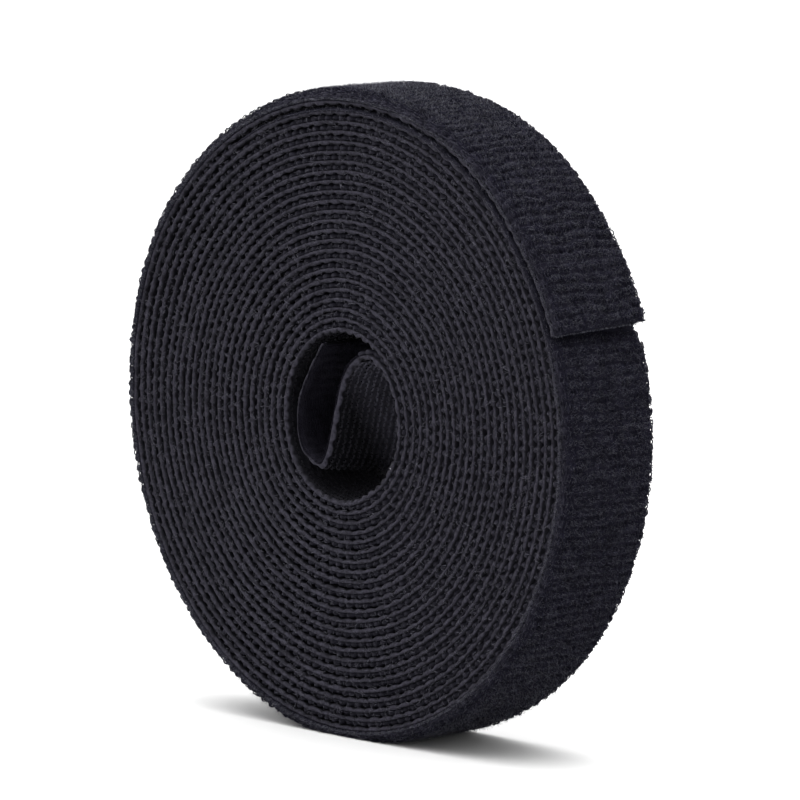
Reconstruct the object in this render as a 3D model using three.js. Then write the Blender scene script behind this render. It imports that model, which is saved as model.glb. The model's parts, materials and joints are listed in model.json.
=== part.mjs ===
// A roll of double-sided fastening tape, wound without a core and standing on its rim.
// The tape is a hook layer and a brushed loop layer, bonded back to back. The loop side faces outward.
// Millimetres, +Z up. The roll's axis runs along Y, the front face is at -Y, and the foot is at Z = 0.
import * as THREE from 'three';

// Tape: its width and the layers on both sides of the bond line that the winding follows.
const TAPE_WIDTH = 20;
const HOOK_THICKNESS = 0.45;
const BOND_GAP = 0.3;
const PRESSED_PILE = 0.65;
const FREE_PILE = 1.95;

// Winding: an even spiral that runs clockwise and outward, seen from the front.
const TURNS = 24;
const STEPS_PER_TURN = 22;
const TURN_GAP = 0.3;
const BORE_LINE_RADIUS = 14.4;
const END_ANGLE = 20;
const FOOT_TRIM = 0.1;

// Free outer end: straight stretches that hinge on the bond line and peel away from the roll.
const PEEL_LINKS = 6;
const PEEL_GAP = 0.3;
const PEEL_RANGE = 25;
const END_LIFT_ANGLE = 2;

// Inner tail: a route from its cut end to the first turn. Each point is an angle round the bore,
// in degrees, and a depth in from the innermost turn.
const TAIL_GAP = 0.4;
const TAIL_SUBSTEPS = 2;
const TAIL_END_ROUTE = [[112, 2.2], [140, 4.3], [169, 4.2], [198, 3.5], [213, 3.5]];
const TAIL_RUN_ROUTE = [[224, 4.2], [235, 4.9], [238, 6.6], [231, 10.1], [178, 13.3], [92, 9.5], [81, 6.6]];
const TAIL_ROOT_ROUTE = [[71, 4.2], [59, 2.4], [45, 1.8], [31, 1.75]];

// Values worked out from the sizes above.
const turnPitch = HOOK_THICKNESS + BOND_GAP + PRESSED_PILE + TURN_GAP;
const stepAngle = 360 / STEPS_PER_TURN;
const lastStation = TURNS * STEPS_PER_TURN;
const firstFreeStation = lastStation - STEPS_PER_TURN;
const peelStation = lastStation - PEEL_LINKS;
const hookSpan = [-BOND_GAP / 2 - HOOK_THICKNESS, -BOND_GAP / 2];
const pressedSpan = [BOND_GAP / 2, BOND_GAP / 2 + PRESSED_PILE];
const freeSpan = [BOND_GAP / 2, BOND_GAP / 2 + FREE_PILE];
const radians = THREE.MathUtils.degToRad;
const peelTrim = PEEL_GAP / 2 - hookSpan[0] * Math.tan(radians(stepAngle / 2));

// Spiral stations stand so that one facet is centred under the axis, where the roll rests.
const footOffset = stepAngle / 2 - 90;
const startAngle = footOffset + stepAngle * Math.floor((END_ANGLE - footOffset) / stepAngle);
const footStation = firstFreeStation + Math.floor((startAngle - footOffset) / stepAngle + 0.5);

function polar(radius, degrees) {
  return new THREE.Vector2(radius * Math.cos(radians(degrees)), radius * Math.sin(radians(degrees)));
}

function lineRadius(station) {
  return BORE_LINE_RADIUS + (turnPitch * station) / STEPS_PER_TURN;
}

function spiralPoint(station) {
  return polar(lineRadius(station), startAngle - station * stepAngle);
}

// Height of the axis over the foot: the foot's facet, trimmed level.
function axisHeight() {
  const facetRadius = lineRadius(footStation) + freeSpan[1];
  return facetRadius * Math.cos(radians(stepAngle / 2)) - FOOT_TRIM;
}

// A point of the tail's route, measured in from the innermost turn at the same angle.
function tailPoint([degrees, depth]) {
  const swept = THREE.MathUtils.euclideanModulo(startAngle - degrees, 360);
  return polar(BORE_LINE_RADIUS + (turnPitch * swept) / 360 - depth, degrees);
}

// The tail's smooth line through all its route points and on to the first station of the spiral.
function tailStretches() {
  const routes = [TAIL_END_ROUTE, TAIL_RUN_ROUTE, TAIL_ROOT_ROUTE];
  const knots = [...routes.flat().map(tailPoint), spiralPoint(0)];
  const curve = new THREE.CatmullRomCurve3(knots.map((p) => new THREE.Vector3(p.x, 0, p.y)), false, 'centripetal');
  const intervals = knots.length - 1;
  const stretches = [];
  let knot = 0;
  for (const route of routes) {
    const points = [];
    for (let i = 0; i <= route.length * TAIL_SUBSTEPS; i += 1) {
      const t = Math.min(1, (knot + i / TAIL_SUBSTEPS) / intervals);
      const point = curve.getPoint(t);
      points.push(new THREE.Vector2(point.x, point.z));
    }
    stretches.push(points);
    knot += route.length;
  }
  return stretches;
}

// Draws the ends of an open line in by the given lengths, to leave room at a joint.
function trimmed(points, startTrim, endTrim) {
  const line = points.map((point) => point.clone());
  const last = line.length - 1;
  line[0].lerp(line[1], startTrim / line[0].distanceTo(line[1]));
  line[last].lerp(line[last - 1], endTrim / line[last].distanceTo(line[last - 1]));
  return line;
}

// Mitred normals on the left of a line, long enough that both sides of the strip stay parallel.
function mitres(points) {
  const sides = [];
  for (let i = 0; i + 1 < points.length; i += 1) {
    const along = points[i + 1].clone().sub(points[i]).normalize();
    sides.push(new THREE.Vector2(-along.y, along.x));
  }
  return points.map((point, i) => {
    const before = sides[Math.max(0, i - 1)];
    const after = sides[Math.min(sides.length - 1, i)];
    const mitre = before.clone().add(after).normalize();
    return mitre.divideScalar(mitre.dot(before));
  });
}

// The two sides of a layer: the line moved along its normals by the layer's span at each station.
function layerSides(points, spanAt) {
  const normals = mitres(points);
  const side = (edge) => points.map((p, i) => p.clone().addScaledVector(normals[i], spanAt(i)[edge]));
  return { inner: side(0), outer: side(1) };
}

// A closed strip of the tape's width between an inner and an outer side.
function stripGeometry({ inner, outer }) {
  const positions = [];
  const half = TAPE_WIDTH / 2;
  inner.forEach((low, i) => {
    const high = outer[i];
    positions.push(low.x, -half, low.y, high.x, -half, high.y, high.x, half, high.y, low.x, half, low.y);
  });
  const triangles = [];
  const quad = (a, b, c, d) => triangles.push(a, b, c, a, c, d);
  const last = inner.length - 1;
  for (let i = 0; i < last; i += 1) {
    for (let corner = 0; corner < 4; corner += 1) {
      const next = (corner + 1) % 4;
      quad(4 * i + corner, 4 * i + 4 + corner, 4 * i + 4 + next, 4 * i + next);
    }
  }
  quad(0, 1, 2, 3);
  quad(4 * last + 3, 4 * last + 2, 4 * last + 1, 4 * last);
  const geometry = new THREE.BufferGeometry();
  geometry.setAttribute('position', new THREE.Float32BufferAttribute(positions, 3));
  geometry.setIndex(triangles);
  geometry.computeVertexNormals();
  return geometry;
}

// A straight layer of one peeling link, in the link's own frame: X towards the cut end, Z outward.
function linkGeometry(startX, endX, span, startLean) {
  const corners = [
    new THREE.Vector2(startX, span[0]),
    new THREE.Vector2(endX, span[0]),
    new THREE.Vector2(endX, span[1]),
    new THREE.Vector2(startX + startLean, span[1]),
  ];
  const options = { depth: TAPE_WIDTH, bevelEnabled: false };
  const geometry = new THREE.ExtrudeGeometry(new THREE.Shape(corners), options);
  return geometry.rotateX(Math.PI / 2).translate(0, TAPE_WIDTH / 2, 0);
}

// Least distance between a tube's outer side and the inner side of its own later turns.
function leastGap({ inner, outer }, stationsApart) {
  let least = Infinity;
  const nearest = new THREE.Vector3();
  for (let i = 0; i < outer.length; i += 1) {
    const point = new THREE.Vector3(outer[i].x, outer[i].y, 0);
    for (let k = i + stationsApart; k + 1 < inner.length; k += 1) {
      const from = new THREE.Vector3(inner[k].x, inner[k].y, 0);
      const to = new THREE.Vector3(inner[k + 1].x, inner[k + 1].y, 0);
      new THREE.Line3(from, to).closestPointToPoint(point, true, nearest);
      least = Math.min(least, nearest.distanceTo(point));
    }
  }
  return least;
}

const loopMaterial = new THREE.MeshStandardMaterial({ color: 0x15161b, roughness: 1.0, metalness: 0.0 });
const hookMaterial = new THREE.MeshStandardMaterial({ color: 0x2b2b30, roughness: 0.75, metalness: 0.0 });

function addMesh(group, name, geometry, material) {
  const mesh = new THREE.Mesh(geometry, material);
  mesh.name = name;
  group.add(mesh);
}

// The pile is pressed flat under the next turn and stands free on the outermost one.
function loopSpanAt(station) {
  return station > firstFreeStation ? freeSpan : pressedSpan;
}

// Levels the facet that the roll stands on.
function levelFoot({ outer }, firstSpiralIndex) {
  for (const station of [footStation, footStation + 1]) {
    const point = outer[firstSpiralIndex + station];
    point.multiplyScalar(axisHeight() / -point.y);
  }
}

function addWinding(roll, tailRoot) {
  const spiral = [];
  for (let station = 1; station <= peelStation; station += 1) {
    spiral.push(spiralPoint(station));
  }
  const firstSpiralIndex = tailRoot.length - 1;
  const line = trimmed([...tailRoot, ...spiral], TAIL_GAP / 2, peelTrim);
  const hook = layerSides(line, () => hookSpan);
  const loop = layerSides(line, (i) => loopSpanAt(i - firstSpiralIndex));
  levelFoot(loop, firstSpiralIndex);
  addMesh(roll, 'winding_hook_layer', stripGeometry(hook), hookMaterial);
  addMesh(roll, 'winding_loop_layer', stripGeometry(loop), loopMaterial);
  const apart = Math.round(STEPS_PER_TURN / 2);
  console.log(`winding_hook_layer least gap to itself: ${leastGap(hook, apart).toFixed(3)} mm`);
  console.log(`winding_loop_layer least gap to itself: ${leastGap(loop, apart).toFixed(3)} mm`);
}

// The free end is a chain: each link is carried by the one before it and turns about its own hinge.
function addFreeEnd(roll) {
  const lean = freeSpan[1] * Math.tan(radians(Math.max(0, PEEL_RANGE - stepAngle) + 1));
  let carrier = roll;
  let carrierLength = 0;
  let heading = 0;
  for (let link = 1; link <= PEEL_LINKS; link += 1) {
    const from = spiralPoint(peelStation + link - 1);
    const chord = spiralPoint(peelStation + link).sub(from);
    const isLast = link === PEEL_LINKS;
    const cutShare = isLast ? (startAngle + stepAngle - END_ANGLE) / stepAngle : 1;
    const length = chord.length() * cutShare;
    const group = new THREE.Group();
    if (link === 1) {
      group.position.set(from.x, 0, from.y);
    } else {
      group.position.set(carrierLength, 0, 0);
    }
    group.rotation.y = heading - chord.angle() - (isLast ? radians(END_LIFT_ANGLE) : 0);
    const endTrim = isLast ? 0 : 1;
    const hook = linkGeometry(peelTrim, length - endTrim * peelTrim, hookSpan, 0);
    const loop = linkGeometry(PEEL_GAP / 2, length - (endTrim * PEEL_GAP) / 2, freeSpan, lean);
    addMesh(group, `free_end_hook_layer_${link}`, hook, hookMaterial);
    addMesh(group, `free_end_loop_layer_${link}`, loop, loopMaterial);
    carrier.add(group);
    carrier = group;
    carrierLength = length;
    heading = chord.angle();
  }
}

function addTailStretch(roll, name, points, startTrim, endTrim) {
  const line = trimmed(points, startTrim, endTrim);
  addMesh(roll, `${name}_hook_layer`, stripGeometry(layerSides(line, () => hookSpan)), hookMaterial);
  addMesh(roll, `${name}_loop_layer`, stripGeometry(layerSides(line, () => pressedSpan)), loopMaterial);
}

function buildRoll() {
  const roll = new THREE.Group();
  const [tailEnd, tailRun, tailRoot] = tailStretches();
  addTailStretch(roll, 'tail_end', tailEnd, 0, TAIL_GAP / 2);
  addTailStretch(roll, 'tail_run', tailRun, TAIL_GAP / 2, TAIL_GAP / 2);
  addWinding(roll, tailRoot);
  addFreeEnd(roll);
  roll.position.z = axisHeight();
  return roll;
}

const tapeRoll = new THREE.Group();
tapeRoll.add(buildRoll());

export default tapeRoll;
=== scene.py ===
import json
import math
import bpy
import numpy as np
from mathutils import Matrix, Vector

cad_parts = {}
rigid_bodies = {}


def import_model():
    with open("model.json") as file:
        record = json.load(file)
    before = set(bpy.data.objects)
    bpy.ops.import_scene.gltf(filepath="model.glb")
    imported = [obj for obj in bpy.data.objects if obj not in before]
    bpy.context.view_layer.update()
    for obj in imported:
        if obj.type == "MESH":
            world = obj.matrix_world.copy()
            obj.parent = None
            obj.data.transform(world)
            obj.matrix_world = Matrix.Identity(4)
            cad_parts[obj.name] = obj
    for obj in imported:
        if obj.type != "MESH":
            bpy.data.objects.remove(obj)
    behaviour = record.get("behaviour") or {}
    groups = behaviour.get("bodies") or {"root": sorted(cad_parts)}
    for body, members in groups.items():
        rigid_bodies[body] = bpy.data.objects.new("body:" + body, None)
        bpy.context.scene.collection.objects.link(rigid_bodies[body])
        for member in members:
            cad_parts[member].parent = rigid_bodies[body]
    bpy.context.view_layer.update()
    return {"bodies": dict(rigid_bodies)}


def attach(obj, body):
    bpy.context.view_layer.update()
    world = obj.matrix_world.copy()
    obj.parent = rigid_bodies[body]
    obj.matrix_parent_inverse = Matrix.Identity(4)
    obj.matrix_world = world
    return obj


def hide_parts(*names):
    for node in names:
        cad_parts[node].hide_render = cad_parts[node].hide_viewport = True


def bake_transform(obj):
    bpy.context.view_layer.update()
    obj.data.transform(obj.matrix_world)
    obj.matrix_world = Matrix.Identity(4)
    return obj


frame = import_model()

# Sizes in millimetres, as in the part's source, with STEPS to a turn. The axis runs along Y at AXIS_HEIGHT.
MM = 0.001
HALF_WIDTH = 10.0
TURNS = 24
STEPS = 22
LINKS = sum(name.startswith("free_end_") for name in frame["bodies"])
PITCH = 1.70
BORE_LINE = 14.4
FREE_TOP = 2.10
FOOT_TRIM = 0.1
END_ANGLE = 20.0
STEP_ANGLE = 360.0 / STEPS
FOOT_ANGLE = STEP_ANGLE / 2 - 90.0
FOOT_STEPS = math.floor((END_ANGLE - FOOT_ANGLE) / STEP_ANGLE)
START_ANGLE = FOOT_ANGLE + FOOT_STEPS * STEP_ANGLE
FOOT_STATION = (TURNS - 1) * STEPS + FOOT_STEPS
FOOT_RADIUS = BORE_LINE + PITCH * FOOT_STATION / STEPS + FREE_TOP
AXIS_HEIGHT = FOOT_RADIUS * math.cos(math.radians(STEP_ANGLE / 2)) - FOOT_TRIM
FLOOR_GAP = 0.01
FRONT, BACK = -1.0, 1.0
CROSSWISE = np.array([0.0, 1.0, 0.0])

# The inner tail's route: angle round the bore and depth in from the innermost turn.
TAIL_ROUTE = [
    (112, 2.2), (140, 4.3), (169, 4.2), (198, 3.5), (213, 3.5), (224, 4.2), (235, 4.9), (238, 6.6),
    (231, 10.1), (178, 13.3), (92, 9.5), (81, 6.6), (71, 4.2), (59, 2.4), (45, 1.8), (31, 1.75),
]

# Places along the tape: route points count from 0 at the inner cut end, then stations of the spiral.
Q_FOLD = 5.0
Q_FLEX = 12.0
Q_SPIRAL = float(len(TAIL_ROUTE))
Q_BORE_END = Q_SPIRAL + STEPS + 1.0
Q_MIDDLE = Q_SPIRAL + 15.5 * STEPS
Q_PEEL = Q_SPIRAL + TURNS * STEPS - LINKS
Q_UNDER_END = Q_PEEL - STEPS - 0.5
Q_END = Q_SPIRAL + (START_ANGLE - END_ANGLE + 360.0 * TURNS) / STEP_ANGLE
Q_UNCOVERED = Q_END - STEPS

# Layers, as offsets from the line that the tape follows. Positive is outward.
HOOK_LOW, HOOK_HIGH = -0.40, 0.05
PILE_LOW, PILE_HIGH = 0.05, 0.78
PILE_GRIPPED = 1.45
FREE_HIGH = 2.35

# The bore is a little out of round: angle and radial shift of the innermost turn, which fade outward.
BORE_SHAPE = [
    (-170, -0.40), (-140, 0.15), (-90, 0.0), (-60, -0.22),
    (-16, 0.08), (90, 0.03), (131, -0.28), (180, -0.52),
]
BORE_REACH = 5.0
SETTLING_STEPS = 5.0

# The outer turns are a little out of round too: angle, spread and height of each bulge.
RIM_BULGES = [(148.0, 22.0, 0.80), (176.0, 30.0, 0.35), (58.0, 16.0, 0.55)]
RIM_GROWTH = (44.0, 54.5)

# The turns wander and ripple, less at the rim, and the cut outer end lifts.
TURN_WANDER = (0.20, 13.0, 13.0, 1)
WANDER_FADE = (54.0, 48.0)
TURN_RIPPLE = (0.07, 50.0, 2)
RIPPLE_FADE = (54.0, 50.0)
END_LIFT = 0.20
END_LIFT_STEPS = 1.3

# The cut outer end is a little aslant, and the fold of the inner tail hangs lower at the back.
END_SLANT = 0.05
SLANT_STEPS = 0.4
FOLD_SAG = 2.2
SAG_RISE = (1.0, Q_FOLD + 0.5)
SAG_FALL = (Q_FLEX - 1.0, Q_FOLD + 2.0)

# Noise comes from one grid of random values.
NOISE_CELLS = 256
NOISE_STRIDE = (19.37, 7.91)
NOISE_ROW = 0.5
NOISE = np.random.default_rng(11).uniform(-1.0, 1.0, (NOISE_CELLS, NOISE_CELLS))

# How finely the tape's line is measured: points to a step, and the step for its direction.
LINE_POINTS = 40
LINE_LEAST = 64
DIRECTION_STEP = 0.02


def eased(t):
    return t * t * (3 - 2 * t)


def ramp(x, low, high):
    """A smooth rise from 0 at low to 1 at high."""
    return eased(np.clip((x - low) / (high - low), 0.0, 1.0))


def noise2(x, y, seed):
    """Smooth noise from -1 to 1 over a plane."""
    x = x + NOISE_STRIDE[0] * seed
    y = y + NOISE_STRIDE[1] * seed
    i = np.floor(x).astype(int)
    j = np.floor(y).astype(int)
    u = eased(x - i)
    v = eased(y - j)
    i, next_i = i % NOISE_CELLS, (i + 1) % NOISE_CELLS
    j, next_j = j % NOISE_CELLS, (j + 1) % NOISE_CELLS
    low = NOISE[i, j] * (1 - u) + NOISE[next_i, j] * u
    high = NOISE[i, next_j] * (1 - u) + NOISE[next_i, next_j] * u
    return low * (1 - v) + high * v


def waves(x, height, length, seed):
    """Uneven waves along a line."""
    return height * noise2(x / length, np.full(np.shape(x), NOISE_ROW), seed)


def lumps(x, y, height, length, width, seed):
    """Uneven lumps over a plane."""
    return height * noise2(x / length, y / width, seed)


def unit(vectors):
    return vectors / np.linalg.norm(vectors, axis=-1, keepdims=True)


def turned(angle, first, second):
    """The first direction, turned towards the second by an angle."""
    return np.cos(angle)[:, None] * first + np.sin(angle)[:, None] * second


def wrapped(degrees):
    return (degrees + 180.0) % 360.0 - 180.0


def polar(radius, degrees):
    """A point at an angle round the roll's axis."""
    return np.stack([radius * np.cos(np.radians(degrees)), radius * np.sin(np.radians(degrees))], -1)


def bore_shift(degrees):
    angles, shifts = zip(*BORE_SHAPE)
    return np.interp(wrapped(degrees), angles, shifts)


def rim_shift(degrees):
    total = 0.0
    for angle, spread, height in RIM_BULGES:
        total = total + height * np.exp(-(wrapped(degrees - angle) / spread) ** 2)
    return total


def spiral(station):
    """Points of the wound tape's line, by stations of the spiral."""
    station = np.asarray(station, float)
    last = Q_END - Q_SPIRAL
    degrees = START_ANGLE - station * STEP_ANGLE
    radius = BORE_LINE + PITCH * station / STEPS
    even = polar(radius, degrees)
    shift = bore_shift(degrees) * np.exp(-(radius - BORE_LINE) / BORE_REACH)
    shift += lumps(even[..., 0], even[..., 1], *TURN_WANDER) * ramp(radius, *WANDER_FADE)
    shift += waves(station * radius, *TURN_RIPPLE) * ramp(radius, *RIPPLE_FADE)
    shift += rim_shift(degrees) * ramp(radius, *RIM_GROWTH)
    shift = shift * ramp(station, 0.0, SETTLING_STEPS)
    shift += END_LIFT * ramp(station, last - END_LIFT_STEPS, last)
    return polar(radius + shift, degrees)


def tail_knots():
    """Points of the tail's route, and the first two of the spiral after it."""
    knots = []
    for degrees, depth in TAIL_ROUTE:
        swept = (START_ANGLE - degrees) % 360.0
        knots.append(polar(BORE_LINE + PITCH * swept / 360.0 - depth, degrees))
    return np.array(knots + [spiral(0.0), spiral(0.5)])


KNOTS = tail_knots()


def gap_root(first, second):
    return np.linalg.norm(second - first, axis=1)[:, None] ** 0.5


def tail(q):
    """Points of a smooth curve through the tail's route."""
    i = np.clip(np.floor(q).astype(int), 0, len(TAIL_ROUTE) - 1)
    t = (q - i)[:, None]
    padded = np.vstack([2 * KNOTS[0] - KNOTS[1], KNOTS])
    before, start, end, after = [padded[i + k] for k in range(4)]
    gap_before = gap_root(before, start)
    gap = gap_root(start, end)
    gap_after = gap_root(end, after)
    leave = gap * ((start - before) / gap_before - (end - before) / (gap_before + gap) + (end - start) / gap)
    arrive = gap * ((end - start) / gap - (after - start) / (gap + gap_after) + (after - end) / gap_after)
    square = -3 * start + 3 * end - 2 * leave - arrive
    cube = 2 * start - 2 * end + leave + arrive
    return start + leave * t + square * t ** 2 + cube * t ** 3


def line(q):
    """Points of the line that the whole tape follows."""
    q = np.atleast_1d(q)
    out = np.empty((len(q), 2))
    inside = q < Q_SPIRAL
    out[inside] = tail(q[inside])
    out[~inside] = spiral(q[~inside] - Q_SPIRAL)
    return out


def place(q):
    """Points of the tape's line and its outward normals."""
    q = np.atleast_1d(q)
    along = unit(line(q + DIRECTION_STEP) - line(np.maximum(q - DIRECTION_STEP, 0.0)))
    return line(q), np.stack([-along[:, 1], along[:, 0]], -1)


def measured(start, end, least):
    """Many places from start to end, and the length of tape between each two."""
    places = np.linspace(start, end, max(least, int(abs(end - start) * LINE_POINTS)))
    return places, np.linalg.norm(np.diff(line(places), axis=0), axis=1)


def spaced(start, end, step):
    """Places from start to end at an even spacing, and their lengths along the whole tape."""
    places, gaps = measured(start, end, LINE_LEAST)
    run = np.concatenate([[0.0], np.cumsum(gaps)])
    count = max(4, int(round(run[-1] / step)))
    lengths = np.linspace(0.0, run[-1], count + 1)
    _, inner_gaps = measured(0.0, start, 2)
    return np.interp(lengths, run, places), lengths + np.sum(inner_gaps)


def add_object(name, data):
    obj = bpy.data.objects.new(name, data)
    bpy.context.scene.collection.objects.link(obj)
    return obj


def add_mesh(name, verts, quads, tris, material):
    """A smooth mesh from millimetre points on the roll's axis, with its faces turned outward."""
    verts = np.array(verts, float)
    verts[:, 2] = np.maximum(verts[:, 2] + AXIS_HEIGHT, FLOOR_GAP)
    quads = np.asarray(quads, int).reshape(-1, 4)
    tris = np.asarray(tris, int).reshape(-1, 3)
    whole = np.vstack([quads[:, [0, 1, 2]], quads[:, [0, 2, 3]], tris])
    a, b, c = np.moveaxis(verts[whole], 1, 0)
    if np.einsum("ij,ij->i", a, np.cross(b, c)).sum() < 0:
        quads = quads[:, ::-1]
        tris = tris[:, ::-1]
    mesh = bpy.data.meshes.new(name)
    mesh.vertices.add(len(verts))
    mesh.vertices.foreach_set("co", (verts * MM).astype(np.float32).ravel())
    corners = np.concatenate([quads.ravel(), tris.ravel()]).astype(np.int32)
    mesh.loops.add(len(corners))
    mesh.loops.foreach_set("vertex_index", corners)
    starts = np.concatenate([np.arange(len(quads)) * 4, len(quads) * 4 + np.arange(len(tris)) * 3])
    mesh.polygons.add(len(starts))
    mesh.polygons.foreach_set("loop_start", starts.astype(np.int32))
    mesh.polygons.foreach_set("use_smooth", np.ones(len(starts), bool))
    mesh.update(calc_edges=True)
    mesh.validate()
    mesh.materials.append(material)
    return add_object(name, mesh)


def on_tape(q, y, offset):
    """Points over the tape's line, with the outward and lengthwise directions there."""
    back = (y + HALF_WIDTH) / (2 * HALF_WIDTH)
    points, normals = place(q - END_SLANT * back * ramp(q, Q_END - SLANT_STEPS, Q_END))
    sag = FOLD_SAG * back * ramp(q, *SAG_RISE) * ramp(q, *SAG_FALL)
    x = points[:, 0] + normals[:, 0] * offset
    z = points[:, 1] + normals[:, 1] * offset - sag
    level = np.zeros(len(q))
    outward = np.stack([normals[:, 0], level, normals[:, 1]], -1)
    lengthwise = np.stack([normals[:, 1], level, -normals[:, 0]], -1)
    return np.stack([x, y, z], -1), outward, lengthwise


def band(name, q, ring_y, ring_offset, material):
    """A closed strip whose cross-section is a ring of widths and offsets at each place."""
    count, sides = ring_y.shape
    verts, _, _ = on_tape(np.repeat(q, sides), ring_y.ravel(), ring_offset.ravel())
    index = np.arange(count * sides).reshape(count, sides)
    after = np.roll(index, -1, axis=1)
    quads = np.stack([index[:-1], index[1:], after[1:], after[:-1]], -1)
    fan = np.arange(1, sides - 1)
    first = np.stack([np.zeros_like(fan), fan, fan + 1], -1)
    last = first[:, ::-1] + (count - 1) * sides
    return add_mesh(name, verts, quads, np.vstack([first, last]), material)


def two_sided(name, q, back, front, material):
    """A strip whose cross-section runs round its back edge and then round its front edge."""
    ring = back + front[::-1]
    ring_y = np.stack([np.broadcast_to(y, len(q)) for y, _ in ring], -1)
    ring_offset = np.stack([np.broadcast_to(offset, len(q)) for _, offset in ring], -1)
    return band(name, q, ring_y, ring_offset, material)


# Tufts along the tape's edges. Their widths and flanks are shares of the period.
TUFT_DRIFT = (0.22, 7.0)
TUFT_FULLNESS = 0.95
TUFT_UNEVEN = (0.45, 2.2)
TUFT_FLANK = 0.22


def tufts(lengths, period, width, seed):
    """Tufts along the tape's edge: 1 on a tuft and 0 in the pit between two."""
    phase = lengths / period + waves(lengths, *TUFT_DRIFT, seed)
    share = np.abs(phase % 1.0 - 0.5) * 2.0
    full = np.clip(TUFT_FULLNESS + waves(lengths, *TUFT_UNEVEN, seed + 1), 0.0, 1.0)
    return full * ramp(share, width + TUFT_FLANK, width - TUFT_FLANK)


# The hook side's band: knots along its edges, wider spaced on the face than round the bore.
KNOT_PERIOD = 3.05
SCALLOP_PERIOD = 2.05
KNOT_WIDTH = 0.62
KNOT_HEIGHT = 0.32
BORE_EXTRA = 0.16
RUN_EXTRA = 0.06
END_DROP = 0.42
KNOT_EASE = 2.0
END_EASE = 1.0
EDGE_SWAY = (0.10, 6.0)
EDGE_BUMPS = (0.06, 0.7)
BAND_WARP = (0.06, 2.2, 43)
BAND_GRAIN = (0.05, 0.7, 46)
KNOT_SEEDS = {FRONT: (21, 41, 44), BACK: (31, 42, 45)}

# Its cross-section at an edge: inset, offset, share of the knots' height and share of the band's warp.
BAND_PROFILE = [
    (1.3, HOOK_LOW, 0.0, 0.0), (0.60, HOOK_LOW - 0.02, 0.8, 0.0), (0.24, HOOK_LOW, 1.0, 0.0),
    (0.0, HOOK_LOW + 0.21, 0.3, 0.0), (0.03, HOOK_HIGH - 0.04, 0.0, 1.0), (0.30, HOOK_HIGH + 0.04, 0.0, 1.0),
]


def knot_height(q):
    """Height of the hook side's knots: higher from the bore inward, and low on the tail's folded end."""
    bore_end = Q_SPIRAL + STEPS
    bore = ramp(q, bore_end + KNOT_EASE, bore_end - KNOT_EASE)
    run = ramp(q, Q_SPIRAL, Q_SPIRAL - KNOT_EASE)
    end = ramp(q, Q_FOLD + END_EASE, Q_FOLD - END_EASE)
    return KNOT_HEIGHT + BORE_EXTRA * bore + RUN_EXTRA * run - END_DROP * end


def band_edge(q, lengths, face, warp):
    """Widths and offsets round one edge of the hook side's band, from its hooks to its back."""
    knot_seed, sway_seed, bump_seed = KNOT_SEEDS[face]
    period = np.where((q > Q_SPIRAL) & (q < Q_BORE_END), SCALLOP_PERIOD, KNOT_PERIOD)
    knots = knot_height(q) * tufts(lengths, period, KNOT_WIDTH, knot_seed)
    edge = face * (HALF_WIDTH + waves(lengths, *EDGE_SWAY, sway_seed))
    edge = edge + waves(lengths, *EDGE_BUMPS, bump_seed)
    points = []
    for inset, offset, knot_share, warp_share in BAND_PROFILE:
        points.append((edge - face * inset, offset - knot_share * knots + face * warp_share * warp))
    return points


def hook_band(name, q, lengths, material):
    """The hook side's woven band: flat faces and knotted, rounded edges."""
    warp = waves(lengths, *BAND_WARP) + waves(lengths, *BAND_GRAIN)
    edges = [band_edge(q, lengths, face, warp) for face in (BACK, FRONT)]
    return two_sided(name, q, *edges, material)


# The pile between two turns: tufts and pits at its edges, and a middle gripped by hooks.
RIB_PERIOD = 1.87
TUFT_WIDTH = 0.46
TUFT_INSET = 0.20
TUFT_SWELL = 0.22
TUFT_ROUND = 0.3
TUFT_CORNER = 0.24
TUFT_LEAN = 0.02
PIT_DEPTH = 0.75
GRIP_INSET = 2.6
GRIP_RISE = (Q_FLEX + 2.0, Q_FLEX + 4.0)
TUFT_ROUGHNESS = (0.14, 0.8)
TOP_ROUGHNESS = (0.06, 0.9)
TUFT_SEEDS = {FRONT: (51, 55, 57), BACK: (53, 56, 58)}


def pressed_edge(lengths, face, middle):
    """Widths and offsets round one edge of the pressed pile, from its foot to its gripped middle."""
    tuft_seed, edge_seed, top_seed = TUFT_SEEDS[face]
    tuft = tufts(lengths, RIB_PERIOD, TUFT_WIDTH, tuft_seed)
    edge = face * (HALF_WIDTH - TUFT_INSET - PIT_DEPTH * (1 - tuft))
    edge = edge + waves(lengths, *TUFT_ROUGHNESS, edge_seed)
    top = PILE_HIGH + TUFT_SWELL * tuft + waves(lengths, *TOP_ROUGHNESS, top_seed)
    return [
        (edge - face * TUFT_ROUND, PILE_LOW),
        (edge, PILE_LOW + TUFT_CORNER),
        (edge - face * TUFT_LEAN, top - TUFT_CORNER),
        (edge - face * TUFT_ROUND, top),
        (face * (HALF_WIDTH - GRIP_INSET), middle),
    ]


def pressed_pile(name, q, lengths):
    """The pile held between two turns."""
    middle = PILE_HIGH + (PILE_GRIPPED - PILE_HIGH) * ramp(q, *GRIP_RISE)
    edges = [pressed_edge(lengths, face, middle) for face in (BACK, FRONT)]
    return two_sided(name, q, *edges, wound_pile_material)


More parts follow.
